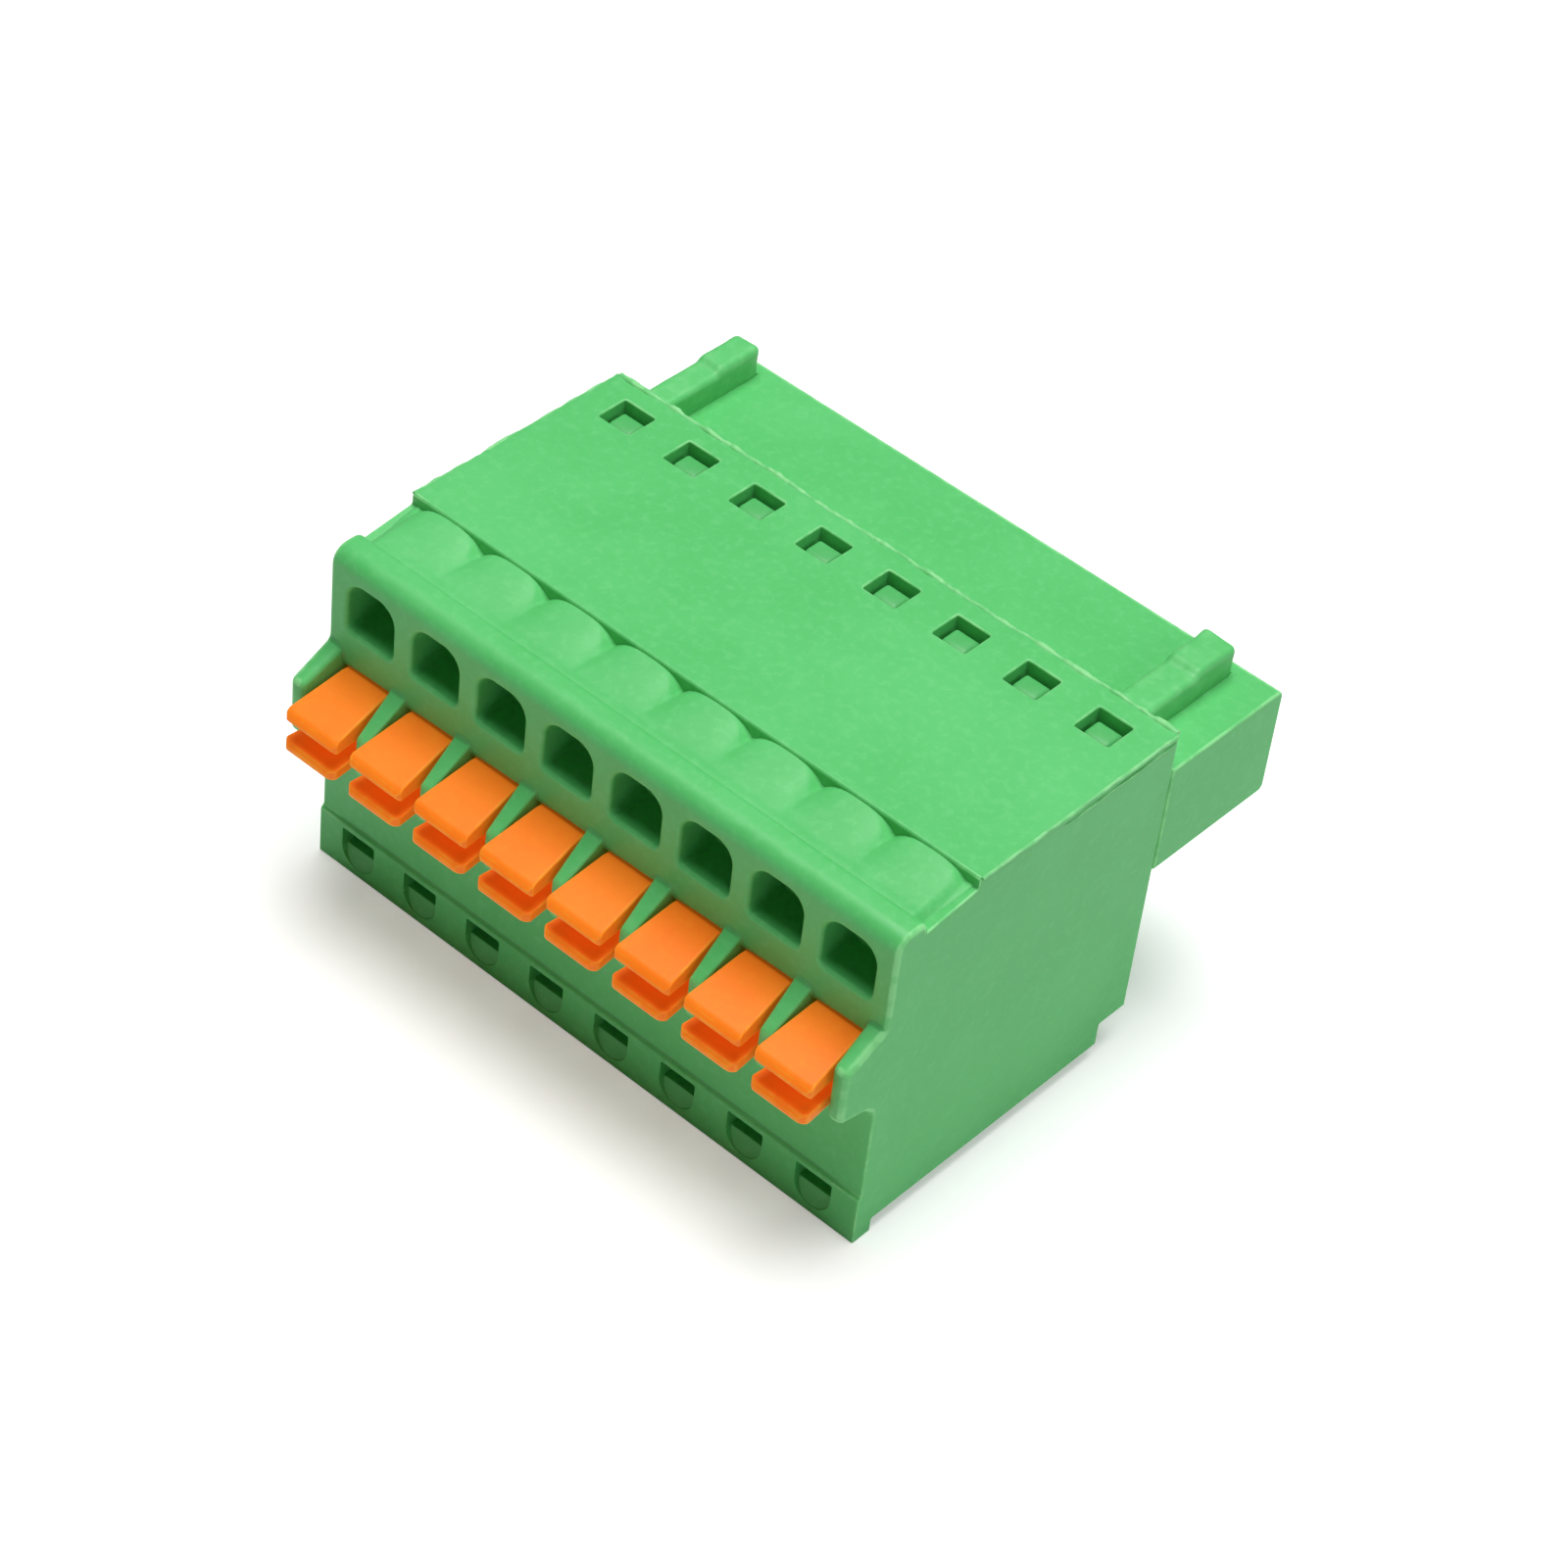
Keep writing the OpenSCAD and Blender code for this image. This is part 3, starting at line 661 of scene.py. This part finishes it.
def flash(name, runs, seed):
    """Irregular beads of plastic squeezed out along a mould's parting lines. Each run is a list
    of points and the bead's radius in millimetres, with y back from the shell's front."""
    points, edges, thick = [], [], []
    for line, bead in runs:
        first = len(points)
        points += [(x * MM, y * MM + FRONT, z * MM) for x, y, z in line]
        edges += [(first + k, first + k + 1) for k in range(len(line) - 1)]
        thick += [bead * MM] * len(line)
    base = bpy.data.meshes.new(name)
    base.from_pydata(points, edges, [])
    base.attributes.new("bead", "FLOAT", "POINT").data.foreach_set("value", thick)
    shape = Shape(name, {"Step": 0.09 * MM, "Wander": 1.8, "Lumps": 1400.0, "Seed": seed, "Sides": 7})
    size = shape.size
    line = shape.node("GeometryNodeMeshToCurve", {}, {0: shape.base})
    line = shape.node("GeometryNodeResampleCurve", {"mode": "LENGTH"},
                      {"Curve": line, "Length": size("Step")})
    place = shape.node("GeometryNodeInputPosition")
    bead = shape.node("GeometryNodeInputNamedAttribute", {"data_type": "FLOAT"}, {"Name": "bead"})
    sway = shape.wander(size("Lumps") * 0.5, place, bead * size("Wander"))
    line = shape.node("GeometryNodeSetPosition", {}, {0: line, "Offset": sway})
    lump = shape.noise(size("Lumps"), size("Seed") + 5.0, place)
    width = bead * (0.55 + 0.65 * lump.above(0.3, 0.4))
    ring = shape.node("GeometryNodeCurvePrimitiveCircle", {"mode": "RADIUS"},
                      {"Resolution": size("Sides"), "Radius": 1.0})
    tube = shape.node("GeometryNodeCurveToMesh", {}, {
        "Curve": line, "Profile Curve": ring, "Scale": width, "Fill Caps": True})
    # the beads are painted pale all over, partly as stress-whitened flash and partly as a painted
    # highlight
    obj = shape.make(shape.edge_attribute(tube, 1.0), name, green, base)
    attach(obj, "housing")


deck_skin()
for rib, (left, right, seed) in GUIDE_RIBS.items():
    guide_rib(rib, left, right, seed)
seams = [([(-14.35, 15.76, 16.02), (14.35, 15.76, 16.02)], 0.165)]    # plate's back edge
for side in (1, -1):
    seams.append(([(side * 14.44, 4.4, 16.03), (side * 14.44, 15.7, 16.03)], 0.085))    # its ends
for side in (1, -1):
    parting = [(14.38, 8.0, 15.62), (14.465, 10.5, 15.67), (14.465, 15.6, 15.74)]
    seams.append(([(side * x, y, z) for x, y, z in parting], 0.05))
flash("seam_flash", seams, seed=11)


# ---------------------------------------------------------------- studio

def studio_floor():
    mesh = bpy.data.meshes.new("floor")
    mesh.from_pydata([(-1, -1, 0), (1, -1, 0), (1, 1, 0), (-1, 1, 0)], [], [(0, 1, 2, 3)])
    floor = bpy.data.objects.new("floor", mesh)
    bpy.context.scene.collection.objects.link(floor)
    f = Finish("pale_floor", (0.86, 0.86, 0.86), 0.7)
    seen = f.node("ShaderNodeLightPath", out="Is Camera Ray")
    glow = f.node("ShaderNodeEmission", {}, {"Color": (1, 1, 1, 1), "Strength": 0.35})
    plain = f.node("ShaderNodeAddShader", {}, {0: Value(f, f.shader.outputs[0]), 1: glow})
    both = f.node("ShaderNodeMixShader", {}, {0: seen, 1: Value(f, f.shader.outputs[0]), 2: plain})
    f.tree.links.new(both.socket, f.tree.nodes["Material Output"].inputs["Surface"])
    dress(floor, f.material)


def lamp(name, place, aim, size, power, colour=(1.0, 1.0, 1.0)):
    data = bpy.data.lights.new(name, "AREA")
    data.shape = "DISK"
    data.size, data.energy, data.color = size, power, colour
    obj = bpy.data.objects.new(name, data)
    bpy.context.scene.collection.objects.link(obj)
    obj.location = place
    obj.rotation_euler = (Vector(aim) - Vector(place)).to_track_quat("-Z", "Y").to_euler()


studio_floor()
lamp("top_softbox", (-0.02, 0.05, 0.55), (0, 0, 0.01), 0.42, 3.25)
lamp("side_fill", (0.45, 0.05, 0.30), (0, 0, 0.01), 0.30, 0.54)
lamp("front_fill", (0.05, -0.50, 0.10), (0, 0, 0.01), 0.30, 0.175, (1.0, 0.93, 0.72))
world = bpy.data.worlds.new("studio")
bpy.context.scene.world = world
world.use_nodes = True
world.node_tree.nodes["Background"].inputs["Color"].default_value = (1, 1, 1, 1)
world.node_tree.nodes["Background"].inputs["Strength"].default_value = 0.035

camera_data = bpy.data.cameras.new("camera")
camera_data.sensor_width = 36.0
camera_data.lens = 101.8
camera_data.clip_start = 0.01
camera = bpy.data.objects.new("camera", camera_data)
bpy.context.scene.collection.objects.link(camera)
camera.location = (0.07832, -0.10103, 0.12427)
camera.rotation_euler = [math.radians(turn) for turn in (47.370, -5.256, 42.243)]
bpy.context.scene.camera = camera
bpy.context.scene.view_settings.view_transform = "Standard"

bpy.context.view_layer.update()
